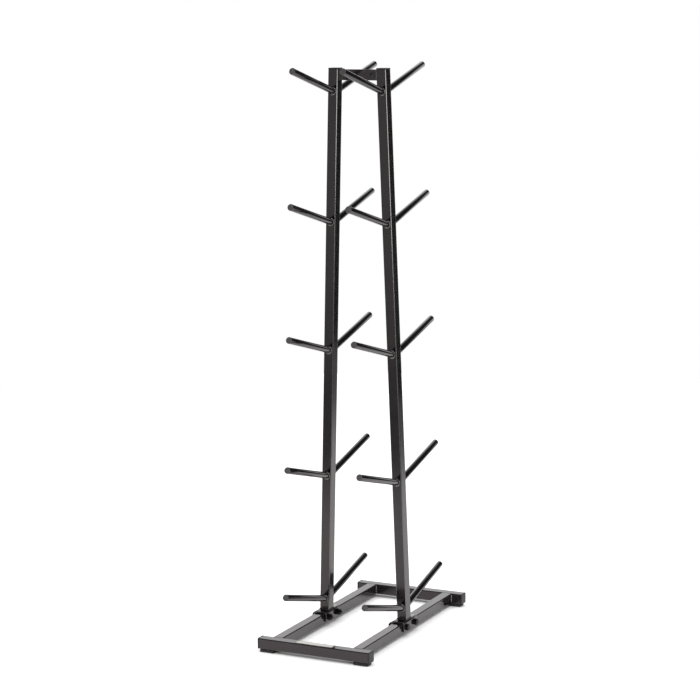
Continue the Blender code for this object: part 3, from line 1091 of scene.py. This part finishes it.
def screwPlace(side):
    # the screw's middle, in the plane between front and rear
    low, high = nodeBox(f"{side}_crosspiece_screw")
    return (low + high) / 2 * [1, 0, 1]


crossLow, crossHigh = nodeBox("crosspiece")
screwCentres = {side: screwPlace(side) for side in sideSigns}
mesh = ringMesh(plateRings(crossLow, crossHigh, followBoth))
mesh = drilled(mesh, "crosspiece", list(screwCentres.values()), 1, crosspiece["hole"])
addPiece("crosspiece_plate", mesh, coat, "crosspiece")

for side, sign in sideSigns.items():
    node = f"{side}_top_tab"
    mesh = ringMesh(plateRings(*nodeBox(node), followOne(sign)))
    mesh = drilled(mesh, node, [screwCentres[side]], 1, crosspiece["hole"])
    addPiece(node + "_plate", mesh, coat, node)


def buttonRings(side):
    # Out of the tab: tip, shank, the underside of the head, its dome as a quarter ellipse up to
    # the socket's rim, then down the socket's six sides to its floor.
    count = button["around"]
    seat = crossLow[1] - seatGap
    reach = nodeBox(f"{side}_crosspiece_screw")[1][1] - seat
    radius, height, shank = button["headRadius"], button["headHeight"], button["shank"]
    rimAngle = math.acos((button["socketFlats"] / 2 + button["socketRim"]) / radius)
    angle = np.linspace(0, rimAngle, 12)
    domeAlong = height * np.sin(angle)
    top, depth = domeAlong[-1], button["socketDepth"]
    socket = hexRadius(circleAround(count)[0], button["socketFlats"])
    inner = [socket * button["socketMouth"], socket, socket, socket * button["socketFloor"]]
    innerAlong = [top, top - button["mouthDepth"], top - depth, top - depth - button["floorDepth"]]
    plain = [shank - button["tipEase"], shank, shank, radius - button["underEase"]]
    plainAlong = [-reach, -reach + button["tipEase"], 0, 0]
    radii = [*plain, *(radius * np.cos(angle)), *inner]
    along = np.concatenate([plainAlong, domeAlong + button["rimRise"] * (1 - np.sin(angle)), innerAlong])
    return turnedRings(radii, along, 1, screwCentres[side] + [0, seat, 0], -1, count)


for side in sideSigns:
    node = f"{side}_crosspiece_screw"
    addPiece(node + "_turned", ringMesh(buttonRings(side)), screwSteel, node)
print("crosspiece made")


# Blank label on the front crossbar

label = {
    "corner": 0.0012,
    "edge": 0.00012,
    "lead": 0.0008,
    "faceShares": (0.8, 0.5, 0.2),
    "sag": 0.00006,
}


def labelRings():
    # a thin film: the lower face, the edge and a top face whose inner rings let it sag a hair
    low, high = nodeBox("blank_label")
    edge, middle = label["edge"], (low + high) / 2 * [1, 1, 0]
    drawn, heights = (0, 0, edge), (low[2], high[2] - edge, high[2])
    rings = stackedRings(low, high, 2, label["corner"], drawn, heights, lead=label["lead"])
    flat = rings[-1] - middle
    for share in label["faceShares"]:
        rings.append(flat * [share, share, 1] + middle - [0, 0, label["sag"] * (1 - share)])
    return rings


addPiece("blank_label_film", ringMesh(labelRings()), film, "blank_label")
print("label made")


# Floor, studio and camera

studio = {
    "floorRadius": 4.4,
    "floorColour": (0.95, 0.95, 0.95),
    "floorAround": 160,
    "floorLift": 0.16,
    "floorLiftToEye": 0.29,
    "contactReach": 0.035,
    "contactRays": 3,
    "domeLow": 0.15,
    "domeRise": 1.45,
    "white": 1.0,
    "carpetMiddle": (0.16, 0.31, 0.0),
    "carpetInside": 0.8,
    "carpetEdge": (1.65, 3.05),
    "carpetHeight": 0.004,
    "carpetGlow": 0.28,
    "wallRadius": 60.0,
    "wallRise": (-80, 90),
    "wallRings": 35,
    "wallAround": 96,
    "wallFrom": 1.5,
    "backdropAway": (-0.447, 0.894, 0.0),
    "backdropEdge": (math.cos(math.radians(32)), math.cos(math.radians(12))),
    "backdropTop": (0.90, 0.44),
    "wingEdge": (math.cos(math.radians(50)), math.cos(math.radians(42))),
    "wingTop": (0.34, 0.22),
    "roomDark": 0.03,
    "frontGlow": 0.67,
    "frontEdge": (-0.1, -0.75),
    "frontTop": (0.42, 0.12),
    "frontLow": (-0.22, -0.10),
    "frontLeast": 0.38,
    "glowColour": (1, 1, 1),
}

softboxes = {
    # behind the camera and for gloss alone: the light stripe on the uprights' corners
    "farSoftbox": {
        "place": (2.85, -7.05, 1.65),
        "aim": (0, 0, 1.65),
        "size": (5.2, 2.4),
        "glow": 4.5,
        "glossOnly": True,
    },
    "leftSoftbox": {
        "place": (-2.4, -2.2, 1.9),
        "aim": (0, 0, 0.8),
        "size": (1.0, 1.3),
        "glow": 1.5,
        "glossOnly": False,
    },
    "overheadSoftbox": {
        "place": (0.2, -0.3, 3.4),
        "aim": (0, 0, 0),
        "size": (2.6, 2.6),
        "glow": 0.5,
        "glossOnly": False,
    },
}


def emptyTree(owner):
    owner.use_nodes = True
    owner.node_tree.nodes.clear()
    return owner.node_tree


def seenWhite(tree):
    # 1 for what the camera sees and for what gloss and glass show, and 1 for the camera alone
    path = addNode(tree, "LightPath").outputs
    seen = mathOf("MAXIMUM", path["Is Camera Ray"], path["Is Glossy Ray"])
    return mathOf("MAXIMUM", seen, path["Is Transmission Ray"]), path["Is Camera Ray"]


def stagePiece(name, mesh, material):
    mesh.materials.append(material)
    piece = addObject(name, mesh)
    return piece


def makeFloor():
    # A white disc. The lift, for eye, gloss and glass alone, brings its open part to full
    # white, and to the eye a little past it, so that only the shadow under the tubes stays.
    # It fades in tight contact: a painted contact shadow, which darkens the line under the crossbars.
    rim = laid(circleAround(studio["floorAround"])[1] * studio["floorRadius"], 2, (0, 0, 0))
    mesh = bpy.data.meshes.new("floor")
    mesh.from_pydata(rim.tolist(), [], [list(range(len(rim)))])
    material = bpy.data.materials.new("floor_white")
    tree = emptyTree(material)
    matt = addNode(tree, "BsdfDiffuse", {"Color": studio["floorColour"]}).outputs[0]
    seen, byEye = seenWhite(tree)
    lift = times(seen, studio["floorLift"])
    lift = mathOf("ADD", lift, times(byEye, studio["floorLiftToEye"]))
    # painted contact shadow: the lift fades where the rack is near
    contact = {"Distance": studio["contactReach"]}
    contact = addNode(tree, "AmbientOcclusion", contact, samples=studio["contactRays"])
    lift = times(lift, contact.outputs["AO"])
    glow = joined("Emission", {"Color": studio["glowColour"], "Strength": lift})[0]
    both = joined("AddShader", {0: matt, 1: glow})[0]
    joined("OutputMaterial", {"Surface": both})
    stagePiece("floor", mesh, material)


def makeSurround():
    # The dark room and the grey carpet that gloss shows beside and in front of the white set.
    # Both are open, so that the white floor and backdrop show, near the rack and behind it.
    # The backdrop is tall in its middle, with low wings to both sides.
    # Turned profile: the carpet's two edges, then a circle from straight down to straight up.
    rise = np.radians(np.linspace(*studio["wallRise"], studio["wallRings"]))
    wall = studio["wallRadius"]
    inside = studio["carpetEdge"][0] * studio["carpetInside"]
    radii = np.concatenate([[inside, studio["floorRadius"]], wall * np.cos(rise)])
    heights = np.concatenate([[studio["carpetHeight"]] * 2, wall * np.sin(rise)])
    mesh = ringMesh(turnedRings(radii, heights, 2, (0, 0, 0), 1, studio["wallAround"]))
    material = bpy.data.materials.new("surround_dark")
    tree = emptyTree(material)
    place = addNode(tree, "TexCoord").outputs["Object"]
    away = vectorOf("DISTANCE", place, studio["carpetMiddle"])["Value"]
    onWall = mathOf("GREATER_THAN", away, studio["floorRadius"] * studio["wallFrom"])
    carpet = spread(away, *studio["carpetEdge"])
    direction = vectorOf("NORMALIZE", place)[0]
    level = vectorOf("NORMALIZE", vectorOf("MULTIPLY", direction, (1, 1, 0))[0])[0]
    behind = vectorOf("DOT_PRODUCT", level, studio["backdropAway"])["Value"]
    height = partsOf(direction)["Z"]

    def wallPart(name):
        # 1 within the part's bearings and below its top, softly edged
        return times(spread(behind, *studio[name + "Edge"]), spread(height, *studio[name + "Top"]))

    opening = mathOf("MAXIMUM", wallPart("backdrop"), wallPart("wing"))
    dimmer = spread(height, *studio["frontLow"], studio["frontLeast"], 1)
    front = times(wallPart("front"), dimmer)
    room = mathOf("MAXIMUM", times(front, studio["frontGlow"]), studio["roomDark"])
    covered = mathOf("SUBTRACT", 1.0, opening)
    solid = blendNumbers(onWall, carpet, covered)
    tone = blendNumbers(onWall, studio["carpetGlow"], room)
    glow = joined("Emission", {"Color": studio["glowColour"], "Strength": tone})[0]
    clear = addNode(tree, "BsdfTransparent").outputs[0]
    both = joined("MixShader", {0: solid, 1: clear, 2: glow})[0]
    joined("OutputMaterial", {"Surface": both})
    surround = stagePiece("surround", mesh, material)
    surround.visible_camera = surround.visible_diffuse = False
    surround.visible_transmission = surround.visible_shadow = False


def makeWorld():
    # Full white to eye, gloss and glass. For matt surfaces a soft dome, whose glow grows with
    # the square of the height, so that the floor is dark close under the tubes and clear beside.
    world = bpy.data.worlds.new("studio")
    bpy.context.scene.world = world
    tree = emptyTree(world)
    direction = addNode(tree, "TexCoord").outputs["Generated"]
    height = mathOf("MAXIMUM", partsOf(direction)["Z"], 0.0)
    dome = times(times(height, height), studio["domeRise"])
    dome = mathOf("ADD", dome, studio["domeLow"])
    strength = blendNumbers(seenWhite(tree)[0], dome, studio["white"])
    sky = joined("Background", {"Color": studio["glowColour"], "Strength": strength})[0]
    joined("OutputWorld", {"Surface": sky})


def addSoftbox(name, place, aim, size, glow, glossOnly):
    # a glow of 1 is as bright as white paper in the scene's light
    lamp = bpy.data.lights.new(name, "AREA")
    lamp.shape = "RECTANGLE"
    lamp.size, lamp.size_y = size
    lamp.energy = glow * math.pi * size[0] * size[1]
    box = addObject(name, lamp)
    box.location = place
    box.rotation_euler = (Vector(aim) - Vector(place)).to_track_quat("-Z", "Y").to_euler()
    box.visible_glossy = glossOnly
    box.visible_diffuse = not glossOnly


camera = {
    "place": (2.8508, -5.8030, 1.9530),
    "yaw": math.radians(26.488),
    "pitch": math.radians(9.583),
    "roll": math.radians(-0.682),
    "lens": 112.629,
    "sensor": 36.0,
}


def makeCamera():
    # looks along the yaw and down by the pitch, then rolls about that line
    yaw, pitch, roll = camera["yaw"], camera["pitch"], camera["roll"]
    ahead = math.cos(pitch)
    forward = Vector((-math.sin(yaw) * ahead, math.cos(yaw) * ahead, -math.sin(pitch)))
    level = Vector((math.cos(yaw), math.sin(yaw), 0))
    upright = level.cross(forward)
    right = level * math.cos(roll) + upright * math.sin(roll)
    upward = upright * math.cos(roll) - level * math.sin(roll)
    data = bpy.data.cameras.new("camera")
    data.lens = camera["lens"]
    data.sensor_width = camera["sensor"]
    item = addObject("camera", data)
    axes = Matrix((right, upward, -forward)).transposed().to_4x4()
    item.matrix_world = Matrix.Translation(camera["place"]) @ axes
    bpy.context.scene.camera = item


makeFloor()
makeSurround()
makeWorld()
for name, box in softboxes.items():
    addSoftbox(name, **box)
makeCamera()
bpy.context.scene.view_settings.view_transform = "Standard"
print("studio made")
